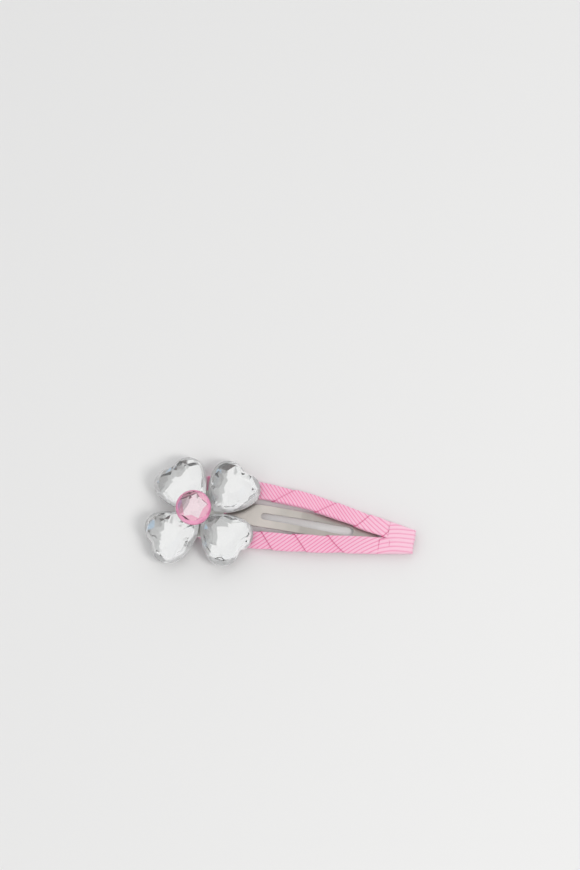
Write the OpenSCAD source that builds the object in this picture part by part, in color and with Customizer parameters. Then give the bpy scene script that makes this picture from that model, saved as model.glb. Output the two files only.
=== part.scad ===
// Child's snap hair clip: a sprung steel teardrop wrapped in ribbon, with a snapping
// tongue and a four-petal flower of faceted acrylic stones on its wide end.
//
// Frame: the origin is under the middle of the flower, on the face that the clip rests
// on. +X runs to the narrow tip, +Z is the decorated side. The clip is drawn shut.

/* [Clip outline, over the ribbon] */
// From the middle of the flower to the narrow tip
tip_x = 48.2; // [40:0.1:60]
// Half the width across the wide end
clip_half_w = 7.8; // [6.5:0.1:10]
// Where the sides start to curve in
shoulder_x = 8; // [7:0.5:12]
// Where the sides become straight
straight_x = 30; // [26:0.5:34]
// Length of the closed tip, from where the two arms meet
tip_len = 8.02; // [6:0.01:10]

/* [Spring steel] */
// Thickness of the sheet
steel_t = 0.4; // [0.3:0.05:0.5]
// Centre of the round end, along X
bow_x = 2.4; // [1.5:0.1:4]
// Front edge of the solid plate that joins the two arms
plate_x = 5.2; // [4.4:0.1:6]
// How far the arms bow upwards along their length
arch_h = 1.3; // [0.8:0.1:1.8]
// Roll of each arm about its length, inner edge up
arm_roll = 15; // [8:1:18]
// Distance over which the inner edges sweep across to make the riveted pads
pad_sweep = 1.2; // [0.8:0.1:1.6]

/* [Rivet] */
// Radius of the rivet's shank
rivet_r = 0.6; // [0.45:0.05:0.8]
// Radius of the rivet's heads
rivet_head_r = 1.1; // [0.9:0.05:1.4]
// Height of each head
rivet_head_h = 0.2; // [0.15:0.05:0.3]

/* [Tongue] */
// Width of the tongue
tongue_w = 5.06; // [4.4:0.02:5.6]
// Width of its neck at the root
neck_w = 3.0; // [2.4:0.1:4]
// Where the neck reaches the full width
neck_x = 11.4; // [10:0.1:12.5]
// From its free end to the crotch where the wrapped arms meet
tongue_back = 0.5; // [0.4:0.1:2]
// Where the tongue is creased
crease_x = 22; // [18:0.5:26]
// Depth of the crease below the arms beside it
crease_drop = 0.7; // [0.6:0.05:1]
// Rounded start of the slot
slot_start_x = 13; // [12.5:0.1:16]
// From the slot's rounded end to the tongue's free end
slot_margin = 5.4; // [2:0.1:7]
// Width of the slot at its start
slot_start_w = 1.5; // [1:0.1:2]
// Width of the slot at its end
slot_end_w = 2; // [1.2:0.1:2.4]

/* [Ribbon] */
// Thickness of the wrapped grosgrain ribbon
ribbon_t = 0.4; // [0.3:0.05:0.5]
// Bevel on the wrapped arm's long edges
ribbon_bevel = 0.35; // [0.2:0.05:0.4]

/* [Petal stones] */
// Width of a heart stone
heart_w = 12.2; // [10:0.1:14.7]
// Length of a heart stone, point to lobes
heart_l = 12; // [10:0.1:14.4]
// Radius of each lobe
lobe_r = 3.8; // [3:0.1:4.4]
// Radius of the hollow between the lobes
notch_r = 1.5; // [1:0.1:2]
// Radius of the point
point_r = 0.9; // [0.5:0.1:1.2]
// Radius of the long side curves
side_r = 11; // [10:0.5:16]
// Height of the plain rim
heart_rim_h = 1; // [0.7:0.1:1.4]
// Height of the faceted crown above the rim
heart_crown_h = 2.8; // [2:0.1:3.4]

/* [Centre stone] */
// Diameter of the round stone
round_d = 8; // [6.6:0.1:9.6]
// Height of its plain rim
round_rim_h = 0.9; // [0.6:0.1:1.2]
// Height of its crown above the rim
round_crown_h = 2.1; // [1.5:0.1:2.6]

/* [Seats and clearances] */
// Thickness of the silver foil behind each stone
foil_t = 0.1; // [0.08:0.01:0.2]
// Thickness of the glue under each petal
glue_t = 0.15; // [0.1:0.05:0.3]
// Radius of the felt backing
felt_r = 5.6; // [4.8:0.1:6]
// Ribbon to the steel inside it
ribbon_gap = 0.05; // [0.03:0.01:0.08]
// Wrapped arms to the sides of the tongue, at the wide end
window_gap = 1.17; // [0.8:0.01:1.5]
// Wrapped arms to the end of the tongue that lies under them
tongue_gap = 0.4; // [0.3:0.05:0.6]
// Petals to the arms that pass under them
petal_gap = 0.2; // [0.15:0.05:0.4]
// Rivet shank to its hole
rivet_gap = 0.02; // [0.01:0.01:0.04]
// Root of the tongue to the plate
root_gap = 0.15; // [0.12:0.01:0.25]

/* [Hidden] */
$fn = 48;
eps = 0.01;

steel_colour = [0.74, 0.74, 0.73];
ribbon_colour = [0.97, 0.62, 0.78];
stone_colour = [0.92, 0.93, 0.94];
foil_colour = [0.8, 0.81, 0.82];
centre_colour = [0.95, 0.66, 0.78];
felt_colour = [0.95, 0.94, 0.92];
glue_colour = [0.93, 0.93, 0.9];

// What a wrapped part gains on each side of the steel
wrap = ribbon_t + ribbon_gap;
// The arms take what the tongue's window leaves of the outline
window_half_w = tongue_w / 2 + window_gap;
arm_w = clip_half_w - window_half_w;
steel_arm_w = arm_w - 2 * wrap;
steel_z = wrap;
bow_top = 2 * wrap + steel_t;
steel_tip_x = tip_x - wrap;
// Where the two wrapped arms meet on the centre line, and the slope that brings them there
crotch_x = tip_x - tip_len;
side_slope = window_half_w / ((straight_x - shoulder_x) / 2 + crotch_x - straight_x);
pad_x = crotch_x + wrap / side_slope * 0.7;
arm_end_x = crotch_x - 0.3;
tip_start_x = crotch_x - 0.2;
arm_step = 1.2;

// The arms are flat at the plate and the pads, and rolled between
roll_from = [shoulder_x, shoulder_x + 10];
roll_to = [crotch_x - 8, crotch_x - 0.4];
// One arm climbs over the other by half a sheet each before they meet
lap_from = [crotch_x - 4, crotch_x - 0.4];
lap_gap = 0.01;
// At the tip the lower arm's ribbon just clears the tongue
tip_rise = steel_t + tongue_gap + (steel_t + lap_gap) / 2;
tongue_x = crotch_x - tongue_back;
slot_end_x = tongue_x - slot_margin;
crease_z = steel_bottom(crease_x) + steel_t / 2 - crease_drop;
rivet_x = (pad_x + pad_sweep + steel_tip_x) / 2;

hinge_x = plate_x + root_gap + steel_t / 2;
hinge_z = steel_z + steel_t / 2;

// Each petal: its point's place as shares of the stone's width, then its heading
PETALS = [
    [-0.088, -0.095, 133],
    [0.172, -0.085, 60.5],
    [-0.038, -0.388, 212],
    [0.012, -0.258, -32]
];
// The closest pair of petals: half the angle between them, as width over length
petal_splay = 1.45;
heart_mid_y = heart_l - lobe_r - point_r;
petal_spread = max(0, heart_w / 2 * petal_splay - (heart_l - lobe_r) - 0.65);
petal_reach = 0.172 * heart_w + heart_l * 0.82 + petal_spread;
CENTRE = [-0.172 * heart_w, -0.164 * heart_w];
FELT_CENTRE = [-0.9, -1.9];
GLUE_POST = [0.055 * heart_w, -0.155 * heart_w];

flower_z = arm_top(petal_reach) + petal_gap;
felt_z = bow_top;
felt_t = flower_z - glue_t - felt_z;
stone_z = flower_z + foil_t;
centre_z = stone_z + heart_rim_h + heart_crown_h + 0.05;

// ---- Curves of the clip ----

// 0 before a, 1 after b, and smooth between
function ease(x, a, b) = let(s = min(1, max(0, (x - a) / (b - a)))) s * s * (3 - 2 * s);

// Half width of the clip over its ribbon: level, then a parabola, then straight
function outer_y(x) =
    x < shoulder_x ? clip_half_w
    : x < straight_x
        ? clip_half_w - side_slope * pow(x - shoulder_x, 2) / (2 * (straight_x - shoulder_x))
    : clip_half_w - side_slope * (straight_x - shoulder_x) / 2 - side_slope * (x - straight_x);

// Underside of the steel: flat plate, a low arch, flat pads
function steel_bottom(x) =
    let(u = min(1, max(0, (x - plate_x) / (pad_x - plate_x))))
    steel_z + tip_rise * u + arch_h * pow(sin(180 * u), 2);

function roll(x) = arm_roll * ease(x, roll_from[0], roll_from[1]) * (1 - ease(x, roll_to[0], roll_to[1]));
function lap(x) = (steel_t / 2 + lap_gap / 2) * ease(x, lap_from[0], lap_from[1]);

// Edges of the steel arm: parallel, then the inner edge sweeps across to make the pad
function steel_outer(x) = outer_y(x) - wrap;
function steel_inner(x) =
    let(plain = steel_outer(x) - steel_arm_w, s = ease(x, pad_x, pad_x + pad_sweep))
    plain * (1 - s) - steel_outer(x) * s;

function arm_top(x) =
    steel_bottom(x) + steel_t + wrap + arm_w / 2 * sin(roll(x));

// Stations from a to b: the two ends, and between them a grid that all swept parts share
function stations(a, b) =
    concat([a], [for (x = [plate_x:arm_step:b - eps]) if (x > a + eps) x], [b]);

// ---- Swept arms ----

// Corners of the arm's section at x, grown by g, with its corners cut by a bevel
function arm_ring(x, g, bevel, side) =
    let(
        mid_y = (steel_outer(x) + steel_inner(x)) / 2,
        mid_z = steel_bottom(x) + steel_t / 2 + side * lap(x),
        hw = (steel_outer(x) - steel_inner(x)) / 2 + g,
        ht = steel_t / 2 + g,
        r = roll(x),
        flat = bevel == 0
            ? [[hw, -ht], [hw, ht], [-hw, ht], [-hw, -ht]]
            : [[hw - bevel, -ht], [hw, bevel - ht], [hw, ht - bevel], [hw - bevel, ht],
               [bevel - hw, ht], [-hw, ht - bevel], [-hw, bevel - ht], [bevel - hw, -ht]]
    )
    [for (p = flat) [x, mid_y + p[0] * cos(r) + p[1] * sin(r), mid_z - p[0] * sin(r) + p[1] * cos(r)]];

// Box-like section of the wrapped tip at x, g inside its outer face
function tip_ring(x, g) =
    let(
        hw = outer_y(x) - g,
        ht = steel_t + rivet_head_h + wrap - g,
        mid_z = steel_bottom(x) + steel_t / 2,
        b = g == 0 ? 1.6 * ribbon_bevel : 0.4 * ribbon_bevel
    )
    [for (p = [[hw - b, -ht], [hw, b - ht], [hw, ht - b], [hw - b, ht],
               [b - hw, ht], [-hw, ht - b], [-hw, b - ht], [b - hw, -ht]]) [x, p[0], mid_z + p[1]]];

// A solid bar through a list of rings that all have n corners
module skin(rings) {
    n = len(rings[0]);
    m = len(rings);
    polyhedron(
        points = [for (ring = rings) for (p = ring) p],
        faces = concat(
            [[for (j = [0:n - 1]) j]],
            [for (i = [0:m - 2]) for (j = [0:n - 1]) let(k = (j + 1) % n)
                each [[i * n + k, i * n + j, (i + 1) * n + j], [(i + 1) * n + k, i * n + k, (i + 1) * n + j]]],
            [[for (j = [0:n - 1]) m * n - 1 - j]]
        )
    );
}

module arm_bar(x0, x1, g, bevel, side) {
    skin([for (x = stations(x0, x1)) arm_ring(x, g, bevel, side)]);
}

// The right arm is the left one mirrored, except that it passes under at the tip
module on_side(side) {
    if (side > 0) children();
    else mirror([0, 1, 0]) children();
}

// ---- Steel ----

module bow_outline(grow, front) {
    difference() {
        union() {
            translate([bow_x, 0]) circle(r = clip_half_w - wrap + grow, $fn = 96);
            translate([bow_x, -(clip_half_w - wrap + grow)])
                square([plate_x - bow_x + front, 2 * (clip_half_w - wrap + grow)]);
        }
        translate([plate_x + front, -2 * clip_half_w]) square([4 * clip_half_w, 4 * clip_half_w]);
    }
}

module spring_frame() {
    color(steel_colour)
    difference() {
        union() {
            translate([0, 0, steel_z]) linear_extrude(steel_t) bow_outline(0, 0);
            for (side = [1, -1]) on_side(side) arm_bar(plate_x - 0.4, steel_tip_x, 0, 0, side);
        }
        rivet_place() cylinder(r = rivet_r + rivet_gap, h = 4 * steel_t, center = true);
    }
}

// Plan of the tongue: a rounded strip whose neck narrows to the root in a convex curve
module tongue_outline() {
    half = tongue_w / 2;
    neck_half = neck_w / 2;
    neck_len = neck_x - hinge_x;
    neck_curve = [for (a = [0:10:90]) [hinge_x + neck_len * sin(a), half - (half - neck_half) * (1 - sin(a))]];
    difference() {
        union() {
            for (s = [1, -1]) scale([1, s]) polygon(concat([[hinge_x, 0]], neck_curve, [[neck_x, 0]]));
            translate([neck_x - eps, -half]) square([tongue_x - half - neck_x + eps, tongue_w]);
            translate([tongue_x - half, 0]) circle(r = half);
        }
        slot_outline();
    }
}

module slot_outline() {
    r0 = slot_start_w / 2;
    r1 = slot_end_w / 2;
    translate([slot_start_x + r0, 0]) circle(r = r0);
    translate([slot_end_x - r1, 0]) circle(r = r1);
    polygon([[slot_start_x + r0, -r0], [slot_end_x - r1, -r1], [slot_end_x - r1, r1], [slot_start_x + r0, r0]]);
}

// Mid height of the tongue: up to the crease, then down to lie on the resting face
function tongue_mid(x) =
    x < crease_x
        ? hinge_z + (crease_z - hinge_z) * sin(90 * (x - hinge_x) / (crease_x - hinge_x))
        : let(v = (x - crease_x) / (tongue_x - crease_x)) crease_z + (steel_t / 2 - crease_z) * v;

module snap_tongue() {
    xs = concat(stations(hinge_x, crease_x), [tongue_x + steel_t]);
    low = [for (x = xs) [x, tongue_mid(x) - steel_t / 2]];
    high = [for (i = [len(xs) - 1:-1:0]) [xs[i], tongue_mid(xs[i]) + steel_t / 2]];
    color(steel_colour) {
        intersection() {
            linear_extrude(4 * crease_z) tongue_outline();
            translate([0, tongue_w, 0]) rotate([90, 0, 0]) linear_extrude(2 * tongue_w) polygon(concat(low, high));
        }
        // Rounded root edge, on the axis that the tongue turns about
        translate([hinge_x, 0, hinge_z]) rotate([90, 0, 0])
            cylinder(d = steel_t, h = neck_w, center = true);
    }
}

module rivet_place() {
    translate([rivet_x, 0, steel_bottom(tip_x) + steel_t / 2]) children();
}

module tip_rivet() {
    grip = 2 * steel_t + lap_gap;
    color(steel_colour) rivet_place() {
        cylinder(r = rivet_r, h = grip + 2 * rivet_head_h, center = true);
        for (s = [1, -1]) translate([0, 0, s * (grip + rivet_head_h) / 2])
            cylinder(r = rivet_head_r, h = rivet_head_h, center = true);
    }
}

// ---- Ribbon ----

module bow_ribbon() {
    color(ribbon_colour)
    difference() {
        linear_extrude(bow_top) bow_outline(wrap, -0.2);
        translate([0, 0, ribbon_t]) linear_extrude(steel_t + 2 * ribbon_gap) bow_outline(ribbon_gap, 0);
    }
}

module arm_ribbon(side) {
    start = plate_x + 0.1;
    color(ribbon_colour) on_side(side)
    difference() {
        arm_bar(start, arm_end_x, wrap, ribbon_bevel, side);
        arm_bar(start - 0.1, arm_end_x + 0.1, ribbon_gap, 0, side);
    }
}

module left_arm_ribbon() { arm_ribbon(1); }
module right_arm_ribbon() { arm_ribbon(-1); }

module tip_ribbon() {
    color(ribbon_colour)
    difference() {
        skin([for (x = stations(tip_start_x, tip_x)) tip_ring(x, 0)]);
        skin([for (x = stations(tip_start_x - 0.5, tip_x - ribbon_t)) tip_ring(x, ribbon_t)]);
    }
}

// ---- Stones ----

// Points on an arc from angle a to angle b, both ends included
function arc(c, r, a, b, n) = [for (i = [0:n]) let(t = a + (b - a) * i / n) [c[0] + r * cos(t), c[1] + r * sin(t)]];

// Heart outline, point down at the origin: point, side, lobe and hollow are four
// arcs that run into each other, and the left half mirrors the right
function heart_half() =
    let(
        lobe = [heart_w / 2 - lobe_r, heart_l - lobe_r],
        tip = [0, point_r],
        d = norm(lobe - tip),
        to_lobe = side_r - lobe_r,
        to_tip = side_r - point_r,
        along = (to_tip * to_tip - to_lobe * to_lobe + d * d) / (2 * d),
        across = sqrt(max(0, to_tip * to_tip - along * along)),
        u = (lobe - tip) / d,
        c = tip + along * u + across * [-u[1], u[0]],
        lobe_a = atan2(lobe[1] - c[1], lobe[0] - c[0]),
        tip_a = atan2(tip[1] - c[1], tip[0] - c[0]),
        notch_y = lobe[1] + sqrt(pow(lobe_r + notch_r, 2) - lobe[0] * lobe[0]),
        meet_a = atan2(notch_y - lobe[1], -lobe[0])
    )
    concat(
        [[0, 0]],
        arc(c, side_r, tip_a, lobe_a, 3),
        [for (p = arc(lobe, lobe_r, lobe_a, meet_a, 5)) if (norm(p - lobe - lobe_r * [cos(lobe_a), sin(lobe_a)]) > eps) p],
        [[0, notch_y - notch_r]]
    );

function heart() =
    let(half = heart_half(), n = len(half))
    concat(half, [for (i = [n - 2:-1:1]) [-half[i][0], half[i][1]]]);

function round_outline(n) = [for (i = [0:n - 1]) round_d / 2 * [cos(360 * i / n), sin(360 * i / n)]];

// Halfway between each corner and the next
function midpoints(ring) = let(n = len(ring)) [for (i = [0:n - 1]) (ring[i] + ring[(i + 1) % n]) / 2];
function about(ring, c, s, z) = [for (p = ring) [c[0] + s * (p[0] - c[0]), c[1] + s * (p[1] - c[1]), z]];

// A flat-backed stone: plain rim, a belt of kite facets, a belt of star facets, a table
module flatback(outline, c, rim_h, crown_h) {
    n = len(outline);
    mids = midpoints(outline);
    skin([
        about(outline, c, 1, 0),
        about(outline, c, 1, rim_h),
        about(mids, c, 0.82, rim_h + 0.55 * crown_h),
        about(midpoints(mids), c, 0.5, rim_h + crown_h)
    ]);
}

module at_petal(i) {
    p = PETALS[i];
    place = heart_w * [p[0], p[1]] + petal_spread * [cos(p[2]), sin(p[2])];
    translate([place[0], place[1], 0]) rotate(p[2] - 90) children();
}

module petal_stone(i) {
    color(stone_colour) translate([0, 0, stone_z]) at_petal(i)
        flatback(heart(), [0, heart_mid_y], heart_rim_h, heart_crown_h);
}

module petal_foil(i) {
    color(foil_colour) translate([0, 0, flower_z]) at_petal(i)
        linear_extrude(foil_t) polygon(heart());
}

module petal_stone_1() { petal_stone(0); }
module petal_stone_2() { petal_stone(1); }
module petal_stone_3() { petal_stone(2); }
module petal_stone_4() { petal_stone(3); }
module petal_foil_1() { petal_foil(0); }
module petal_foil_2() { petal_foil(1); }
module petal_foil_3() { petal_foil(2); }
module petal_foil_4() { petal_foil(3); }

module centre_foil() {
    color(foil_colour) translate([CENTRE[0], CENTRE[1], centre_z])
        cylinder(d = round_d - 0.2, h = foil_t);
}

module centre_stone() {
    color(centre_colour) translate([CENTRE[0], CENTRE[1], centre_z + foil_t])
        flatback(round_outline(14), [0, 0], round_rim_h, round_crown_h);
}

// ---- Backing ----

module felt_backing() {
    color(felt_colour) translate([FELT_CENTRE[0], FELT_CENTRE[1], felt_z])
        cylinder(r = felt_r, h = felt_t);
}

module petal_glue() {
    color(glue_colour)
    for (i = [0:3]) translate([0, 0, felt_z + felt_t]) at_petal(i)
        translate([0, point_r + 1.6 - petal_spread]) cylinder(r = 1.1, h = glue_t);
}

module centre_glue() {
    color(glue_colour) translate([GLUE_POST[0], GLUE_POST[1], felt_z + felt_t])
        cylinder(r = 0.5, h = centre_z - felt_z - felt_t);
}

spring_frame();
snap_tongue();
tip_rivet();
bow_ribbon();
left_arm_ribbon();
right_arm_ribbon();
tip_ribbon();
felt_backing();
petal_glue();
centre_glue();
petal_foil_1();
petal_foil_2();
petal_foil_3();
petal_foil_4();
petal_stone_1();
petal_stone_2();
petal_stone_3();
petal_stone_4();
centre_foil();
centre_stone();
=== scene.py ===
"""Looks of a child's snap hair clip: ribbon-wound spring steel with a flower of acrylic stones.

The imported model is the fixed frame. Every piece built here is a surface worked out with
numpy in millimetres in that frame, then written into a mesh in metres.
"""

import logging
import math
from dataclasses import dataclass, field
from enum import Enum
from typing import Optional, Sequence

import bpy
import numpy as np
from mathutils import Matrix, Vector


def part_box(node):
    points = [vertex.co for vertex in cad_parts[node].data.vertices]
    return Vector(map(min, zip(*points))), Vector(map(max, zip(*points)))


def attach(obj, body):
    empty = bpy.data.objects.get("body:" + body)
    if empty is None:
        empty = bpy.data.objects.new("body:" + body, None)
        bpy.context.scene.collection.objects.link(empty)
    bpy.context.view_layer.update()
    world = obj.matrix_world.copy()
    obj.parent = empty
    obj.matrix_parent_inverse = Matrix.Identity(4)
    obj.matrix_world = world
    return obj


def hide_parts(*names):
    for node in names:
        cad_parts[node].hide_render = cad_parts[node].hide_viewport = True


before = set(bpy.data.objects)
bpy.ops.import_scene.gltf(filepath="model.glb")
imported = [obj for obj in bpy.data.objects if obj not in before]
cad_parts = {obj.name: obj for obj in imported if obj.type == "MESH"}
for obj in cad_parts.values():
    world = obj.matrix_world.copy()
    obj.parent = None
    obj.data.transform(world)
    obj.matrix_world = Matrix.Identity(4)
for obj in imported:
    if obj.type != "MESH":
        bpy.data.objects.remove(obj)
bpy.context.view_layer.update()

log = logging.getLogger("hair_clip")
Array = np.ndarray
MM = 0.001
Colour = tuple[float, float, float]
Stops = Sequence[tuple[float, Colour]]


class Body(Enum):
    """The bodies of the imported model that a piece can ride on."""

    CLIP = "clip_body"
    TONGUE = "tongue"


class Side(Enum):
    """Which arm a wound ribbon is on: the left one lies towards +Y."""

    LEFT = 1.0
    RIGHT = -1.0


# ---- Whole-array helpers ----


def ease(x: Array | float, a: float, b: float) -> Array:
    """Smooth step: 0 before a, 1 after b, and 3s squared less 2s cubed between.

    Args:
        x: Where it is read.
        a: Where the step starts.
        b: Where it ends.

    Returns:
        The step's height, from 0 to 1.
    """
    s = np.clip((np.asarray(x, float) - a) / (b - a), 0.0, 1.0)
    return s * s * (3.0 - 2.0 * s)


def node_box(name: str) -> tuple[Array, Array]:
    """Corners of a CAD node's box.

    Args:
        name: The node.

    Returns:
        Its lowest and highest corner, in millimetres.
    """
    low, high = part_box(name)
    return np.array(low) / MM, np.array(high) / MM


def signed_volume(points: Array, quads: Array) -> float:
    """Volume inside a closed surface: a sixth of the sum of its triangles' triple products.

    Args:
        points: Vertices, n by 3.
        quads: Faces, m by 4.

    Returns:
        The volume, negative where the faces point inwards.
    """
    a, b, c, d = (points[quads[:, i]] for i in range(4))
    halves = (np.einsum("ij,ij->i", a, np.cross(b, c)), np.einsum("ij,ij->i", a, np.cross(c, d)))
    return float((halves[0] + halves[1]).sum() / 6.0)


def arc_points(centre: Array, radius: float, start: float, end: float, count: int) -> Array:
    """Points on an arc: the centre plus radius times cosine and sine of an evenly rising angle.

    Args:
        centre: The arc's centre, in plan.
        radius: Its radius.
        start: Angle of the first point.
        end: Angle of the last point.
        count: Number of points.

    Returns:
        The points, count by 2.
    """
    a = np.linspace(start, end, count)
    return centre + radius * np.stack([np.cos(a), np.sin(a)], -1)


def settle(
    made: bpy.types.Object, body: Body, node: str, slot: str, *finishes: bpy.types.Material
) -> bpy.types.Object:
    """Dresses a piece and says where it belongs.

    Args:
        made: The piece.
        body: The body that it rides on.
        node: The CAD node that it stands for.
        slot: The record's material slot; not used.
        *finishes: Its materials, in the order of their face slots.

    Returns:
        The piece.
    """
    for finish in finishes:
        made.data.materials.append(finish)
    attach(made, body.value)
    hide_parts(node)
    return made


def set_stops(ramp: bpy.types.Node, stops: Stops) -> None:
    """Gives a colour ramp its stops.

    Args:
        ramp: The ramp's node.
        stops: Place and colour of each stop, in order.
    """
    elements = ramp.color_ramp.elements
    for i, (place, colour) in enumerate(stops):
        stop = elements[i] if i < 2 else elements.new(place)
        stop.position = place
        stop.color = (*colour, 1.0)


@dataclass
class Surface:
    """A surface under way: vertices in millimetres, quads, and what each vertex carries.

    A triangle is a quad whose last two corners are the same.
    """

    points: Array
    quads: Array
    uv: Optional[Array] = None
    flat: Optional[Array] = None
    slots: Optional[Array] = None
    shade: Optional[Array] = None

    @staticmethod
    def lattice(
        grid: Array, wrap_rows: bool = False, wrap_cols: bool = True, uv: Optional[Array] = None
    ) -> "Surface":
        """Joins a grid of points into quads, each row to the next and each column to the next.

        Args:
            grid: Points, rows by columns by 3.
            wrap_rows: Whether the last row joins the first.
            wrap_cols: Whether the last column joins the first.
            uv: Pattern coordinates, rows by columns by 2.

        Returns:
            The surface.
        """
        rows, cols = grid.shape[:2]
        index = np.arange(rows * cols).reshape(rows, cols)
        down = np.roll(index, -1, 0) if wrap_rows else index[1:]
        here = index if wrap_rows else index[:-1]
        if not wrap_cols:
            quads = np.stack([here[:, :-1], here[:, 1:], down[:, 1:], down[:, :-1]], -1)
        else:
            quads = np.stack([here, np.roll(here, -1, 1), np.roll(down, -1, 1), down], -1)
        return Surface(grid.reshape(-1, 3), quads.reshape(-1, 4), None if uv is None else uv.reshape(-1, 2))

    def zipped(self, ring: Array) -> "Surface":
        """Closes a flattened ring: each vertex joins the one across from it.

        Args:
            ring: Vertex indices in order round the ring, an even number of them.

        Returns:
            The surface with the cap added.
        """
        half = len(ring) // 2
        near, far = ring[:half], ring[half:][::-1]
        cap = np.stack([near[:-1], far[:-1], far[1:], near[1:]], -1)
        return Surface(self.points, np.concatenate([self.quads, cap]), self.uv, shade=self.shade)

    def fanned(self, ring: Array, centre: Array) -> "Surface":
        """Closes a ring with triangles to a new vertex.

        Args:
            ring: Vertex indices in order round the ring.
            centre: Where the new vertex lies.

        Returns:
            The surface with the cap added.
        """
        hub = np.full(len(ring), len(self.points))
        cap = np.stack([ring, np.roll(ring, -1), hub, hub], -1)
        uv = None if self.uv is None else np.vstack([self.uv, self.uv[ring].mean(0)])
        return Surface(np.vstack([self.points, centre]), np.concatenate([self.quads, cap]), uv)

    def piece(self, name: str) -> bpy.types.Object:
        """Writes the surface into a new object at the origin, with its faces outwards.

        Args:
            name: The object's name.

        Returns:
            The object.
        """
        quads = self.quads
        if signed_volume(self.points, quads) < 0.0:
            three = (quads[:, 2] == quads[:, 3])[:, None]
            quads = np.where(three, quads[:, [1, 0, 2, 3]], quads[:, ::-1])
        corner = np.where(quads[:, 2] == quads[:, 3], 3, 4)
        keep = np.arange(4)[None, :] < corner[:, None]
        loops = quads[keep]
        mesh = bpy.data.meshes.new(name)
        mesh.vertices.add(len(self.points))
        mesh.vertices.foreach_set("co", (self.points * MM).astype(np.float32).ravel())
        mesh.loops.add(len(loops))
        mesh.loops.foreach_set("vertex_index", loops.astype(np.int32))
        mesh.polygons.add(len(quads))
        starts = np.concatenate([[0], np.cumsum(corner)[:-1]])
        mesh.polygons.foreach_set("loop_start", starts.astype(np.int32))
        smooth = np.ones(len(quads), bool) if self.flat is None else ~self.flat
        mesh.polygons.foreach_set("use_smooth", smooth)
        if self.slots is not None:
            mesh.polygons.foreach_set("material_index", self.slots.astype(np.int32))
        mesh.update(calc_edges=True)
        if self.uv is not None:
            layer = mesh.uv_layers.new(name="UVMap")
            layer.data.foreach_set("uv", (self.uv[loops] * MM).astype(np.float32).ravel())
        if self.shade is not None:
            layer = mesh.attributes.new("shade", "FLOAT", "POINT")
            layer.data.foreach_set("value", self.shade.astype(np.float32).ravel())
        mesh.validate()
        made = bpy.data.objects.new(name, mesh)
        bpy.context.scene.collection.objects.link(made)
        return made


# ---- Finishes ----


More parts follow.
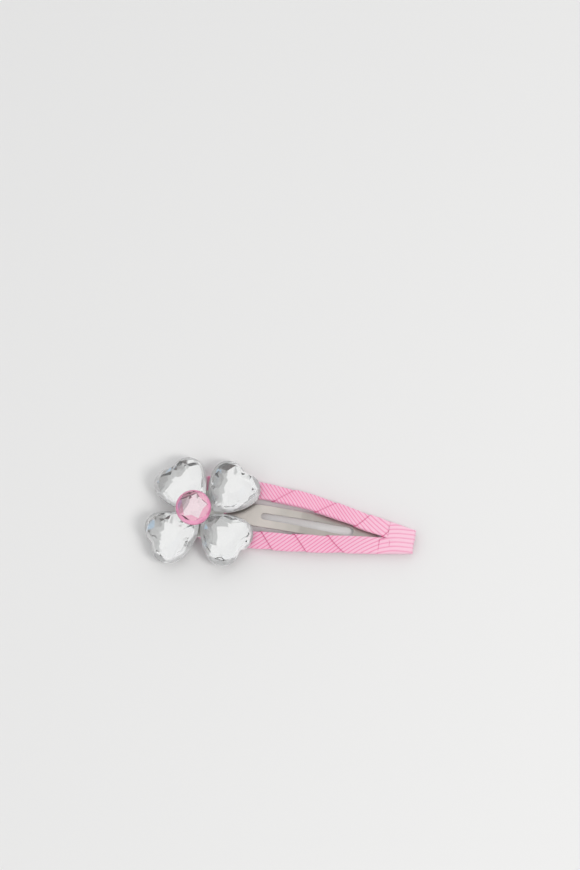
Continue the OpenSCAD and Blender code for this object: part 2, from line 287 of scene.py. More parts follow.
class Nodes:
    """A short way to write a material's node tree."""

    def __init__(self, name: str) -> None:
        """Starts an empty material with one shader and its output.

        Args:
            name: The material's name.
        """
        self.material = bpy.data.materials.new(name)
        self.material.use_nodes = True
        self.tree = self.material.node_tree
        self.tree.nodes.clear()
        self.shader = self.add("ShaderNodeBsdfPrincipled")
        output = self.add("ShaderNodeOutputMaterial")
        self.link(self.shader.outputs["BSDF"], output.inputs["Surface"])

    def add(self, kind: str, **values: object) -> bpy.types.Node:
        """Adds a node.

        Args:
            kind: Blender's name for the node type.
            **values: Properties, or inputs by name with _ for a space.

        Returns:
            The node.
        """
        node = self.tree.nodes.new(kind)
        for key, value in values.items():
            if hasattr(node, key):
                setattr(node, key, value)
            else:
                node.inputs[key.replace("_", " ")].default_value = value
        return node

    def link(self, source: bpy.types.NodeSocket, target: bpy.types.NodeSocket) -> None:
        """Joins an output to an input.

        Args:
            source: The output.
            target: The input.
        """
        self.tree.links.new(source, target)

    def place(self, scale: Sequence[float] = (1.0, 1.0, 1.0)) -> bpy.types.NodeSocket:
        """Object coordinates, stretched.

        Args:
            scale: Stretch along each axis.

        Returns:
            The vector output.
        """
        source = self.add("ShaderNodeTexCoord").outputs["Object"]
        mapping = self.add("ShaderNodeMapping")
        mapping.inputs["Scale"].default_value = scale
        self.link(source, mapping.inputs["Vector"])
        return mapping.outputs["Vector"]

    def noise(
        self, vector: bpy.types.NodeSocket, scale: float, detail: float = 3.0
    ) -> bpy.types.NodeSocket:
        """Cloudy noise over a vector.

        Args:
            vector: Where it is read.
            scale: How many clouds to a metre.
            detail: How many finer layers.

        Returns:
            The factor output.
        """
        node = self.add("ShaderNodeTexNoise", Scale=scale, Detail=detail)
        self.link(vector, node.inputs["Vector"])
        return node.outputs["Fac"]

    def math(self, operation: str, a: object, b: object = 0.0) -> bpy.types.NodeSocket:
        """A sum on two numbers or outputs.

        Args:
            operation: Blender's name for the sum.
            a: First number or output.
            b: Second number or output.

        Returns:
            The result.
        """
        node = self.add("ShaderNodeMath", operation=operation)
        for i, value in enumerate((a, b)):
            if isinstance(value, bpy.types.NodeSocket):
                self.link(value, node.inputs[i])
            else:
                node.inputs[i].default_value = value
        return node.outputs[0]

    def ramp(self, factor: bpy.types.NodeSocket, stops: Stops) -> bpy.types.NodeSocket:
        """Colours along a factor.

        Args:
            factor: Where it is read, from 0 to 1.
            stops: Place and colour of each stop, in order.

        Returns:
            The colour output.
        """
        node = self.add("ShaderNodeValToRGB")
        set_stops(node, stops)
        self.link(factor, node.inputs["Fac"])
        return node.outputs["Color"]

    def mix(self, factor: object, a: object, b: object, blend: str = "MIX") -> bpy.types.NodeSocket:
        """Mixes two colours.

        Args:
            factor: Number or output.
            a: First colour or output.
            b: Second colour or output.
            blend: Blender's name for the way of mixing.

        Returns:
            The colour output.
        """
        node = self.add("ShaderNodeMix", data_type="RGBA", blend_type=blend)
        for socket, value in zip((node.inputs[0], node.inputs[6], node.inputs[7]), (factor, a, b)):
            if isinstance(value, bpy.types.NodeSocket):
                self.link(value, socket)
            else:
                socket.default_value = value if isinstance(value, float) else (*value, 1.0)
        return node.outputs[2]

    def bump(self, height: bpy.types.NodeSocket, distance: float, strength: float = 1.0) -> None:
        """Raises the surface by a height.

        Args:
            height: The height output.
            distance: Metres that a height of 1 stands for.
            strength: Share of it that shows.
        """
        node = self.add("ShaderNodeBump", Strength=strength, Distance=distance)
        self.link(height, node.inputs["Height"])
        self.link(node.outputs["Normal"], self.shader.inputs["Normal"])

    def set(self, **values: object) -> None:
        """Sets or links the shader's sockets.

        Args:
            **values: Values or outputs by socket name, with _ for a space.
        """
        for key, value in values.items():
            socket = self.shader.inputs[key.replace("_", " ")]
            if isinstance(value, bpy.types.NodeSocket):
                self.link(value, socket)
            elif isinstance(value, tuple):
                socket.default_value = (*value, 1.0)
            else:
                socket.default_value = value


@dataclass(frozen=True)
class GrosgrainFinish:
    """Ribbed polyester ribbon: ridges made pale by painted light, valleys deep pink with painted shade, a
    fine yarn across them.
    """

    name: str = "pink_grosgrain"
    # Painted light on the ribs' ridges, painted shade down their flanks into the valleys
    lit_ridge: Colour = (0.93, 0.52, 0.67)
    flank: Colour = (0.92, 0.395, 0.575)
    shaded_valley: Colour = (0.80, 0.175, 0.38)
    # Painted shade: the deep pink that the shade attribute mixes in along the strips' edges
    crease: Colour = (0.68, 0.07, 0.25)
    # Painted light: the tint the ribbon pales to towards the tip, by how much and over what run of X
    pale: Colour = (0.95, 0.76, 0.83)
    painted_light_share: float = 0.32
    painted_light_x: tuple[float, float] = (30.0, 48.0)
    yarns: float = 5200.0
    relief: float = 0.00005

    def material(self) -> bpy.types.Material:
        """Builds it. U of the piece's own UV map counts ribs, one to a millimetre.

        Its colour pales in a straight line along X towards the tip: painted light, standing in for the
        shade and pink glow that the flower throws on the arms near it.

        Returns:
            The material.
        """
        n = Nodes(self.name)
        uv = n.add("ShaderNodeUVMap", uv_map="UVMap").outputs["UV"]
        split = n.add("ShaderNodeSeparateXYZ")
        n.link(uv, split.inputs[0])
        phase = n.math("MULTIPLY", split.outputs["X"], 1.0 / MM * math.pi)
        wave = n.math("ABSOLUTE", n.math("SINE", phase))
        cloud = n.noise(n.place(), 260.0, 4.0)
        wobble = n.math("ADD", wave, n.math("MULTIPLY", n.math("SUBTRACT", cloud, 0.5), 0.25))
        # Painted light and shade: the colour runs from a deep pink valley to a pale ridge with the rib's
        # phase
        colour = n.ramp(wobble, [(0.05, self.shaded_valley), (0.42, self.flank), (0.85, self.lit_ridge)])
        along = n.math("MULTIPLY", split.outputs["Y"], self.yarns * math.pi)
        yarn = n.math("ABSOLUTE", n.math("SINE", along))
        fine = n.ramp(yarn, [(0.0, (0.86, 0.86, 0.86)), (0.5, (1.0, 1.0, 1.0))])
        # Painted shade: where the piece's shade attribute is high, the colour runs into a deep pink along
        # edges where shadows fall
        shade = n.add("ShaderNodeAttribute", attribute_name="shade").outputs["Fac"]
        woven = n.mix(0.6, colour, fine, "MULTIPLY")
        reach = n.add("ShaderNodeSeparateXYZ")
        n.link(n.place(), reach.inputs[0])
        # Painted light: past the run's start the colour pales towards the tip, away from the flower's shade
        start, end = (x * MM for x in self.painted_light_x)
        past = n.math("MAXIMUM", n.math("SUBTRACT", reach.outputs["X"], start), 0.0)
        woven = n.mix(n.math("MULTIPLY", past, self.painted_light_share / (end - start)), woven, self.pale)
        n.set(
            Base_Color=n.mix(shade, woven, self.crease),
            Roughness=0.62,
            Specular_IOR_Level=0.3,
            Sheen_Weight=0.25,
            Sheen_Roughness=0.4,
        )
        height = n.math("ADD", n.math("MULTIPLY", yarn, 0.3), n.math("MULTIPLY", wave, 0.7))
        n.bump(height, self.relief, 0.7)
        return n.material


@dataclass(frozen=True)
class SteelFinish:
    """Satin nickel-plated spring steel, brushed along its length."""

    name: str = "satin_steel"
    tint: Colour = (0.66, 0.61, 0.57)
    dull: Colour = (0.57, 0.54, 0.50)
    grain: float = 900.0
    relief: float = 0.000004

    def material(self) -> bpy.types.Material:
        """Builds it from long streaks along X.

        Returns:
            The material.
        """
        n = Nodes(self.name)
        streak = n.noise(n.place((0.05, 1.0, 1.0)), self.grain * 6.0, 2.0)
        cloud = n.noise(n.place(), self.grain * 0.25, 3.0)
        n.set(
            Base_Color=n.ramp(cloud, [(0.35, self.dull), (0.65, self.tint)]),
            Metallic=0.9,
            Roughness=n.math("ADD", n.math("MULTIPLY", streak, 0.22), 0.26),
        )
        n.bump(streak, self.relief, 0.5)
        return n.material


@dataclass(frozen=True)
class StoneFinish:
    """Clear or tinted acrylic with the faint waves of moulding."""

    name: str
    tint: Colour
    ior: float = 1.49
    clarity: float = 0.95
    waves: float = 420.0
    specks: float = 3000.0
    relief: float = 0.000004

    def material(self) -> bpy.types.Material:
        """Builds it.

        Returns:
            The material.
        """
        n = Nodes(self.name)
        wave = n.noise(n.place(), self.waves, 1.0)
        speck = n.noise(n.place(), self.specks, 2.0)
        n.set(
            Base_Color=n.mix(n.math("MULTIPLY", speck, 0.06), self.tint, (0.8, 0.8, 0.8)),
            Roughness=n.math("MULTIPLY", speck, 0.008),
            IOR=self.ior,
            Transmission_Weight=self.clarity,
        )
        n.bump(wave, self.relief, 0.3)
        return n.material


@dataclass(frozen=True)
class RimFinish:
    """The moulded rim of a stone: half clear, half milky acrylic."""

    name: str
    tint: Colour
    clear: float
    ior: float = 1.49
    waves: float = 600.0
    relief: float = 0.00002

    def material(self) -> bpy.types.Material:
        """Builds it.

        Returns:
            The material.
        """
        n = Nodes(self.name)
        wave = n.noise(n.place(), self.waves, 2.0)
        n.set(
            Base_Color=n.mix(n.math("MULTIPLY", wave, 0.25), self.tint, (0.7, 0.7, 0.72)),
            Roughness=n.math("MULTIPLY", wave, 0.08),
            IOR=self.ior,
            Transmission_Weight=self.clear,
        )
        n.bump(wave, self.relief, 0.4)
        return n.material


@dataclass(frozen=True)
class FoilFinish:
    """Silver foil behind a stone, with faint wrinkles."""

    name: str = "silver_foil"
    tint: Colour = (0.93, 0.93, 0.93)
    rough: float = 0.1
    metal: float = 1.0
    wrinkles: float = 700.0
    relief: float = 0.00001

    def material(self) -> bpy.types.Material:
        """Builds it.

        Returns:
            The material.
        """
        n = Nodes(self.name)
        wrinkle = n.noise(n.place(), self.wrinkles, 3.0)
        n.set(
            Base_Color=n.mix(n.math("MULTIPLY", wrinkle, 0.15), self.tint, (0.75, 0.76, 0.78)),
            Metallic=self.metal,
            Roughness=n.math("MULTIPLY", wrinkle, self.rough * 2.0),
        )
        n.bump(wrinkle, self.relief, self.rough)
        return n.material


@dataclass(frozen=True)
class FeltFinish:
    """Pressed white felt: matted fibres over soft hollows, darkened by painted shade."""

    name: str = "white_felt"
    tint: Colour = (0.86, 0.85, 0.82)
    shaded_hollow: Colour = (0.7, 0.69, 0.66)
    fibres: float = 2600.0
    hollows: float = 500.0
    relief: float = 0.00015

    def material(self) -> bpy.types.Material:
        """Builds it.

        Returns:
            The material.
        """
        n = Nodes(self.name)
        fibre = n.noise(n.place((1.0, 1.0, 3.0)), self.fibres, 6.0)
        mat = n.noise(n.place(), self.hollows, 3.0)
        both = n.math("MULTIPLY", n.math("ADD", fibre, mat), 0.5)
        # Painted shade: the colour darkens where the same noise sinks the bump into hollows
        colour = n.ramp(both, [(0.35, self.shaded_hollow), (0.6, self.tint)])
        n.set(Base_Color=colour, Roughness=0.95, Sheen_Weight=0.4)
        n.bump(both, self.relief, 0.8)
        return n.material


@dataclass(frozen=True)
class GlueFinish:
    """Cloudy clear glue with trapped bubbles."""

    name: str = "clear_glue"
    tint: Colour = (0.93, 0.92, 0.87)
    bubble: Colour = (0.98, 0.98, 0.96)
    ior: float = 1.48
    clarity: float = 0.75
    bubbles: float = 1100.0
    relief: float = 0.00003

    def material(self) -> bpy.types.Material:
        """Builds it.

        Returns:
            The material.
        """
        n = Nodes(self.name)
        cloud = n.noise(n.place(), self.bubbles, 3.0)
        n.set(
            Base_Color=n.mix(cloud, self.tint, self.bubble),
            Roughness=n.math("ADD", n.math("MULTIPLY", cloud, 0.2), 0.1),
            IOR=self.ior,
            Transmission_Weight=self.clarity,
        )
        n.bump(cloud, self.relief, 0.5)
        return n.material


@dataclass(frozen=True)
class FloorFinish:
    """Plain pale matt board."""

    name: str = "pale_board"
    tint: Colour = (0.80, 0.80, 0.80)
    dull: Colour = (0.7, 0.7, 0.7)
    tooth: float = 1500.0

    def material(self) -> bpy.types.Material:
        """Builds it.

        Returns:
            The material.
        """
        n = Nodes(self.name)
        grey = n.math("MULTIPLY", n.noise(n.place(), self.tooth, 4.0), 0.03)
        n.set(Base_Color=n.mix(grey, self.tint, self.dull), Roughness=0.9, Specular_IOR_Level=0.1)
        return n.material


# ---- The clip's own curves ----


@dataclass(frozen=True)
class ClipShape:
    """Outline and section of the wrapped steel, in millimetres, as the part's source has them."""

    shoulder_x: float = 8.0
    straight_x: float = 30.0
    tip_len: float = 8.02
    plate_x: float = 5.2
    steel_t: float = 0.4
    wrap: float = 0.45
    window_half_w: float = 3.7
    arch_h: float = 1.3
    arm_roll: float = 15.0
    roll_in: float = 10.0
    roll_out: float = 8.0
    lap_run: float = 4.0
    before_crotch: float = 0.4
    pad_sweep: float = 1.2
    tongue_gap: float = 0.4
    lap_gap: float = 0.01
    tip_x: float = field(default_factory=lambda: float(node_box("tip_ribbon")[1][0]))
    half_w: float = field(default_factory=lambda: float(node_box("left_arm_ribbon")[1][1]))

    @property
    def crotch_x(self) -> float:
        """Where the two wrapped arms meet."""
        return self.tip_x - self.tip_len

    @property
    def slope(self) -> float:
        """How fast each side closes in along the straight part."""
        run = (self.straight_x - self.shoulder_x) / 2 + self.crotch_x - self.straight_x
        return self.window_half_w / run

    @property
    def pad_x(self) -> float:
        """Where the inner edges start to sweep across."""
        return self.crotch_x + self.wrap / self.slope * 0.7

    @property
    def tip_rise(self) -> float:
        """How much higher the steel lies at the tip than at the plate."""
        return self.steel_t + self.tongue_gap + (self.steel_t + self.lap_gap) / 2

    def outer(self, x: Array) -> Array:
        """Half width over the ribbon: level, then a parabola, then a straight line.

        Args:
            x: Place along the clip.

        Returns:
            The half width there.
        """
        run = self.straight_x - self.shoulder_x
        bend = np.clip(x - self.shoulder_x, 0.0, run) ** 2 / (2 * run)
        return self.half_w - self.slope * (bend + np.maximum(x - self.straight_x, 0.0))

    def steel_bottom(self, x: Array) -> Array:
        """Underside of the steel: a straight rise plus a squared sine arch.

        Args:
            x: Place along the clip.

        Returns:
            Its height there.
        """
        u = np.clip((x - self.plate_x) / (self.pad_x - self.plate_x), 0.0, 1.0)
        return self.wrap + self.tip_rise * u + self.arch_h * np.sin(np.pi * u) ** 2

    def roll(self, x: Array) -> Array:
        """Roll of an arm: eased in after the shoulder and out before the crotch.

        Args:
            x: Place along the clip.

        Returns:
            The roll there, in radians.
        """
        grown = ease(x, self.shoulder_x, self.shoulder_x + self.roll_in)
        left = 1.0 - ease(x, self.crotch_x - self.roll_out, self.crotch_x - self.before_crotch)
        return np.radians(self.arm_roll) * (grown * left)

    def lap(self, x: Array) -> Array:
        """Half the step by which one arm climbs over the other near the tip.

        Args:
            x: Place along the clip.

        Returns:
            The height there.
        """
        climbed = ease(x, self.crotch_x - self.lap_run, self.crotch_x - self.before_crotch)
        return (self.steel_t + self.lap_gap) / 2 * climbed

    def steel_edges(self, x: Array) -> tuple[Array, Array]:
        """Edges of the steel arm: parallel, until the inner one sweeps across at the pad.

        Args:
            x: Place along the clip.

        Returns:
            The inner and the outer edge.
        """
        outer = self.outer(x) - self.wrap
        plain = outer - (self.half_w - self.window_half_w - 2 * self.wrap)
        sweep = ease(x, self.pad_x, self.pad_x + self.pad_sweep)
        return plain * (1 - sweep) - outer * sweep, outer

    def tongue_mid(
        self, x: Array, hinge: Array, crease_x: float, crease_drop: float, end_x: float
    ) -> Array:
        """Mid height of the tongue: a quarter sine up to the crease, then a straight fall.

        Args:
            x: Place along the clip.
            hinge: The root's place, whose X and Z are read.
            crease_x: Where the crease is.
            crease_drop: How far the crease lies under the arms' own arch.
            end_x: The free end.

        Returns:
            The height of the plate's middle.
        """
        crease_z = float(self.steel_bottom(np.array(crease_x))) + self.steel_t / 2 - crease_drop
        rise = np.sin(np.pi / 2 * np.clip((x - hinge[0]) / (crease_x - hinge[0]), 0.0, 1.0))
        fall = np.clip((x - crease_x) / (end_x - crease_x), 0.0, 1.2)
        return hinge[2] + (crease_z - hinge[2]) * rise + (self.steel_t / 2 - crease_z) * fall


# ---- Ribbon ----


@dataclass
class WoundRibbon:
    """A ribbon wound round one arm as a real strip, each turn lying over the one before.

    A place on the strip is a pair (t, v): t counts turns round the arm from the middle of
    its inner edge over the top, and v counts turns across the strip from its raised edge.
    Its X is the inverse of the turn count at t + v, so the edges are helices. The strip lies
    off the steel by its bed, and climbs where it laps over the turn before.
    """

    shape: ClipShape
    side: Side
    edges_x: tuple[float, ...]
    slopes: tuple[float, ...]
    end_x: float
    fan: tuple[tuple[float, ...], tuple[float, ...]]
    lap: float
    last_t: float
    first_t: float = -1.9
    rib_pitch: float = 1.0
    thickness: float = 0.2
    rib_h: float = 0.06
    rib_mid: float = 0.6
    rib_share: tuple[float, float] = (0.8, 0.3)
    edge_round: float = 0.16
    along: int = 400
    across: int = 96
    bed: float = 0.13
    climb: float = 0.2
    under_bow: float = 0.15
    least_w: float = 0.8
    # Painted shade: depth and reach of the dark line at each raised edge, partly the selvage's own colour
    # and partly its shadow, and of the painted shadow where the next turn's edge lies over the strip
    edge_shade: tuple[float, float] = (0.85, 0.12)
    tuck_shade: tuple[float, float] = (0.75, 0.2)
    ribbon_w: float = 10.0
    ribbon_len: float = 55.0

    # Half a side's flat, a corner's arc and the top's flat, and the whole way round
    FLATS = (0.2, 0.4712, 3.2)
    PERIMETER = 9.085

    def turn_table(self) -> tuple[Array, Array]:
        """Turns wound up to each X: a cubic through the edges with the slopes given.

        Returns:
            X and the turn count there, both rising.
        """
        knots = np.array(self.edges_x)
        counts = np.arange(len(knots)) - 0.75
        x = np.linspace(knots[0], knots[-1], 1200)
        i = np.clip(np.searchsorted(knots, x, side="right") - 1, 0, len(knots) - 2)
        h = knots[i + 1] - knots[i]
        s = (x - knots[i]) / h
        m = np.array(self.slopes)
        f = (
            (2 * s**3 - 3 * s**2 + 1) * counts[i]
            + (s**3 - 2 * s**2 + s) * h * m[i]
            + (3 * s**2 - 2 * s**3) * counts[i + 1]
            + (s**3 - s**2) * h * m[i + 1]
        )
        return x, np.maximum.accumulate(f + np.arange(len(x)) * 1e-9)

    def rib_phase(self, x: Array, run: Array) -> Array:
        """Number of ribs passed: distance round the arm plus the running sum of the fan's slope.

        Args:
            x: Place along the clip.
            run: Distance round the arm.

        Returns:
            The count.
        """
        grid = np.linspace(-20.0, 60.0, 1600)
        lean = np.interp(grid, *self.fan)
        total = np.concatenate([[0.0], np.cumsum((lean[1:] + lean[:-1]) / 2 * np.diff(grid))])
        return (run + np.interp(x, grid, total)) / self.rib_pitch

    def section(self, t: Array, half_w: Array, g: Array) -> tuple[Array, Array]:
        """Point on a rounded rectangle g outside the steel's section.

        Args:
            t: Turns round the section.
            half_w: Half the steel's width.
            g: Distance outside the steel.

        Returns:
            Distance outwards and upwards from the steel's middle.
        """
        side, arc, top = self.FLATS
        marks = np.cumsum([0.0, side, arc, top, arc, 2 * side, arc, top, arc, side]) / self.PERIMETER
        u = np.mod(t, 1.0)
        out = np.interp(u, marks, [-1, -1, -1, 1, 1, 1, 1, -1, -1, -1]) * half_w
        up = np.interp(u, marks, [0, 1, 1, 1, 1, -1, -1, -1, -1, 0]) * self.shape.steel_t / 2
        heading = np.radians(np.interp(u, marks, [180, 180, 90, 90, 0, 0, -90, -90, -180, -180]))
        return out + g * np.cos(heading), up + g * np.sin(heading)

    def place(self, x: Array, t: Array, g: Array) -> Array:
        """Point of the wound arm: the section's point, rolled and set on the arm.

        Args:
            x: Place along the clip.
            t: Turns round the arm.
            g: Distance outside the steel.

        Returns:
            The points.
        """
        inner, outer = self.shape.steel_edges(x)
        out, up = self.section(t, (outer - inner) / 2, g)
        roll = self.shape.roll(x)
        y = (inner + outer) / 2 + out * np.cos(roll) + up * np.sin(roll)
        z = self.shape.steel_bottom(x) + self.shape.steel_t / 2 + self.side.value * self.shape.lap(x)
        z = z - out * np.sin(roll) + up * np.cos(roll)
        return np.stack([x, y * self.side.value, z], -1)

    def surface(self) -> Surface:
        """The strip as a thin closed body: its top and its underside, joined along the edges.

        Returns:
            The surface.
        """
        table_x, table_f = self.turn_table()
        t = np.linspace(self.first_t, self.last_t, self.along)[:, None]
        near = np.interp(t, table_f, table_x)
        far = np.interp(t + 1.0 + self.lap, table_f, table_x)
        near, far = np.maximum(near, self.shape.plate_x - self.under_bow), np.minimum(far, self.end_x)
        keep = (far - near)[:, 0] > self.least_w
        t, near, far = t[keep], near[keep], far[keep]
        share = np.linspace(0.0, 1.0, self.across)[None, :]
        x = near + (far - near) * share
        v = np.interp(x, table_x, table_f) - t
        lift = 1.0 - ease(v, self.lap - 0.15, 1.0)
        g = self.bed + self.climb * lift
        phase = self.rib_phase(x, t * self.PERIMETER)
        edge = np.minimum(x - near, far - x)
        half = self.thickness / 2 * (0.5 + 0.5 * ease(edge, 0.0, self.edge_round))
        ribs = self.rib_h * (np.abs(np.sin(np.pi * phase)) - self.rib_mid) * ease(edge, 0.02, 0.3)
        top = self.place(x, t, g + half + ribs * self.rib_share[0])
        under = self.place(x, t, g - half + ribs * self.rib_share[1])
        grid = np.concatenate([top, under[:, ::-1]], 1)
        uv = np.stack([phase, (x - near)], -1)
        uv = np.concatenate([uv, uv[:, ::-1]], 1)
        # Painted shade: a dark line at each raised edge, partly selvage and partly shadow, and a painted
        # shadow just under the next turn's edge
        tucked = (1.0 - v) / np.gradient(table_f, table_x).mean()
        (edge_depth, edge_reach), (tuck_depth, tuck_reach) = self.edge_shade, self.tuck_shade
        shade = edge_depth * np.exp(-((edge / edge_reach) ** 2))
        shade = shade + tuck_depth * np.exp(-((tucked / tuck_reach) ** 2)) * (v < 1.02)
        made = Surface.lattice(grid, uv=uv)
        made.shade = np.concatenate([shade, shade[:, ::-1]], 1).ravel()
        cols = grid.shape[1]
        first = np.arange(cols)
        last = first + (grid.shape[0] - 1) * cols
        return made.zipped(first).zipped(last[::-1])

    def build(self, name: str, finish: bpy.types.Material) -> bpy.types.Object:
        """Makes the strip, dresses it and sets it in the frame.

        Args:
            name: The name of the node that it stands for.
            finish: The ribbon's material.

        Returns:
            The piece.
        """
        made = settle(self.surface().piece(f"{name}_strip"), Body.CLIP, name, "pink_ribbon", finish)
        return made


@dataclass
class TipWrap:
    """The ribbon's last turn, a flattened sleeve over both arms with ribs along the clip."""

    shape: ClipShape
    arm: WoundRibbon
    left_x: float = 42.1
    right_x: float = 40.3
    half_h: float = 1.0
    thickness: float = 0.2
    run_start: float = 0.24
    lip_out: float = 0.05
    mouth_h: float = 0.5
    mouth_low: tuple[float, float] = (0.72, 0.9)
    full_x: float = 44.6
    square: tuple[float, float] = (0.62, 0.38)
    seam_w: float = 0.22
    end_gap: float = 0.06
    end_waver: float = 0.05
    end_round: float = 0.5
    # Painted shadow: depth along the mouth's lip and along the row beside it, on one half of the sleeve
    # only
    lip_shade: float = 0.8
    next_shade: float = 0.35
    rows: int = 100
    cols: int = 260
    ribbon_w: float = 10.0
    ribbon_len: float = 16.0
    cut_area: float = 110.0

    def ring(self, share: Array, turn: Array, inset: float) -> tuple[Array, Array]:
        """Sleeve's surface at a share of its length and a turn round it.

        Its section is a flattened superellipse, whose height grows from that of the arms
        under it to the full height, and closes in a quarter ellipse at the blunt end.

        Args:
            share: From 0 at the mouth to 1 at the end.
            turn: Turns round it from the left side over the top.
            inset: Distance inside the outer face.

        Returns:
            Points and rib counts.
        """
        a = np.pi - 2 * np.pi * turn
        c, s = np.cos(a), np.sin(a)
        across = -np.sign(c) * np.abs(c) ** self.square[0]
        rise = np.sign(s) * np.abs(s) ** self.square[1]
        mouth = self.left_x + (self.right_x - self.left_x) * ease(across, 0.0, self.seam_w)
        end = self.shape.tip_x - self.end_gap - self.end_waver * np.sin(across * 5.0) - inset
        x = mouth + (end - mouth) * share
        half_w = self.shape.outer(x) - inset - 0.02
        y = -across * half_w
        grown = ease(x, self.right_x, self.full_x)
        right = ease(across, -0.05, 0.3)
        low_left, low_right = self.mouth_low
        top = (self.half_h * (1 - right) + self.mouth_h * right) * (1 - grown) + self.half_h * grown
        low = (low_left * (1 - right) + low_right * right) * (1 - grown) + self.half_h * grown
        near_end = np.clip((x - end + self.end_round) / self.end_round, 0.0, 1.0)
        close = np.sqrt(np.clip(1.0 - near_end**2, 0.0004, 1.0))
        height = (np.where(rise > 0, top, low) - inset) * close
        below = self.run_start + 2 * half_w + (1 - across) * half_w
        run = np.where(rise >= 0, self.run_start + across * half_w, below)
        phase = self.arm.rib_phase(x, run + 3 * self.arm.PERIMETER)
        z = self.shape.steel_bottom(x) + self.shape.steel_t / 2 + rise * height
        if inset == 0.0:
            ribs = np.abs(np.sin(np.pi * phase)) - self.arm.rib_mid
            z = z + np.sign(rise) * self.arm.rib_h * self.arm.rib_share[0] * ribs * np.abs(rise)
        return np.stack([x, y, z], -1), np.stack([phase, x], -1)

    def build(self, finish: bpy.types.Material) -> bpy.types.Object:
        """Makes the sleeve from its outer and inner face, joined at the mouth and at the end.

        Args:
            finish: The ribbon's material.

        Returns:
            The piece.
        """
        share = np.linspace(0.0, 1.0, self.rows)[:, None]
        turn = np.linspace(0.0, 1.0, self.cols, endpoint=False)[None, :]
        outside, uv_out = self.ring(share, turn, 0.0)
        inside, uv_in = self.ring(share, turn, self.thickness)
        lip, uv_lip = self.ring(share[:1], turn, self.thickness / 2)
        lip[..., 0] -= self.lip_out
        grid = np.concatenate([outside, inside[::-1], lip], 0)
        uv = np.concatenate([uv_out, uv_in[::-1], uv_lip], 0)
        made = Surface.lattice(grid, wrap_rows=True, uv=uv)
        # Painted shadow: a deep pink line along half of the mouth's lip, where the sleeve's raised edge
        # shades the arm's ribbon
        made.shade = np.zeros(grid.shape[:2])
        left_half = np.cos(np.pi - 2 * np.pi * turn[0]) < 0.0
        made.shade[0] = made.shade[-1] = self.lip_shade * left_half
        made.shade[1] = self.next_shade * left_half
        made.shade = made.shade.ravel()
        piece = settle(made.piece("tip_wrap"), Body.CLIP, "tip_ribbon", "pink_ribbon", finish)
        return piece


@dataclass
class BowWrap:
    """Ribbon over the round end: a pillow on a D-shaped plan with ribs across it."""

    shape: ClipShape
    bow_x: float = 2.4
    around: int = 300
    rings: int = 54
    rib_h: float = 0.05
    rib_way: tuple[float, float] = (0.94, 0.34)
    turn_every: float = 6.4
    turn_edge: tuple[float, float] = (0.3, 0.04)
    rim_share: float = 0.07
    inset: float = 0.03
    front_reach: float = 0.10
    hub_back: float = 0.6
    hub_share: float = 0.04
    pole_in: float = 0.02

    def outline(self) -> Array:
        """Half circle behind and straight sides to a flat front.

        Returns:
            Points in order, around by 2.
        """
        high = node_box("bow_ribbon")[1]
        r = high[1] - self.inset
        front = high[0] + self.front_reach
        arc = np.pi * r
        straight = front - self.bow_x
        total = arc + 2 * straight + 2 * r
        d = np.linspace(0.0, total, self.around, endpoint=False)
        a = np.pi / 2 + np.clip(d - straight, 0.0, arc) / r
        x = self.bow_x + r * np.cos(a)
        y = r * np.sin(a)
        x = np.where(d < straight, front - d, x)
        after = d - straight - arc
        x = np.where(after > 0, self.bow_x + np.minimum(after, straight), x)
        y = np.where(after > straight, -r + (after - straight), y)
        return np.stack([x, y], -1)

    def build(self, finish: bpy.types.Material) -> bpy.types.Object:
        """Makes the pillow: rings shrink to a pole on top and below, and the rim is half round.

        Args:
            finish: The ribbon's material.

        Returns:
            The piece.
        """
        low, high = node_box("bow_ribbon")
        half = (high[2] - low[2]) / 2 - self.inset
        mid = (high[2] + low[2]) / 2
        rim = self.outline()
        hub = np.array([self.bow_x - self.hub_back, 0.0])
        s = np.linspace(self.hub_share, 1.0, self.rings)
        near_rim = np.clip((s - (1.0 - self.rim_share)) / self.rim_share, 0.0, 1.0)
        down = np.sqrt(np.clip(1.0 - near_rim**2, 0.0, 1.0))
        scale = np.concatenate([s, s[::-1][1:]])[:, None, None]
        height = np.concatenate([down, -down[::-1][1:]])[:, None] * half
        plan = hub + (rim - hub) * scale
        x, y = plan[..., 0], plan[..., 1]
        c, d = self.rib_way
        phase = x * c + y * d
        wide, high_edge = self.turn_edge
        turned = np.where(np.mod(y * c - x * d, self.turn_every) < wide, high_edge, 0.0)
        ribs = self.rib_h * (np.abs(np.sin(np.pi * phase)) - 0.8) + turned
        z = mid + height + np.sign(height) * ribs * np.abs(height) / half * 0.5
        grid = np.stack([x, y, np.clip(z, low[2], high[2])], -1)
        uv = np.stack([phase, y], -1)
        made = Surface.lattice(grid, uv=uv)
        cols = self.around
        last = np.arange(cols) + (grid.shape[0] - 1) * cols
        made = made.fanned(np.arange(cols)[::-1], np.array([*hub, mid + half - self.pole_in]))
        made = made.fanned(last, np.array([*hub, mid - half + self.pole_in]))
        return settle(made.piece("bow_wrap"), Body.CLIP, "bow_ribbon", "pink_ribbon", finish)


# ---- Steel ----


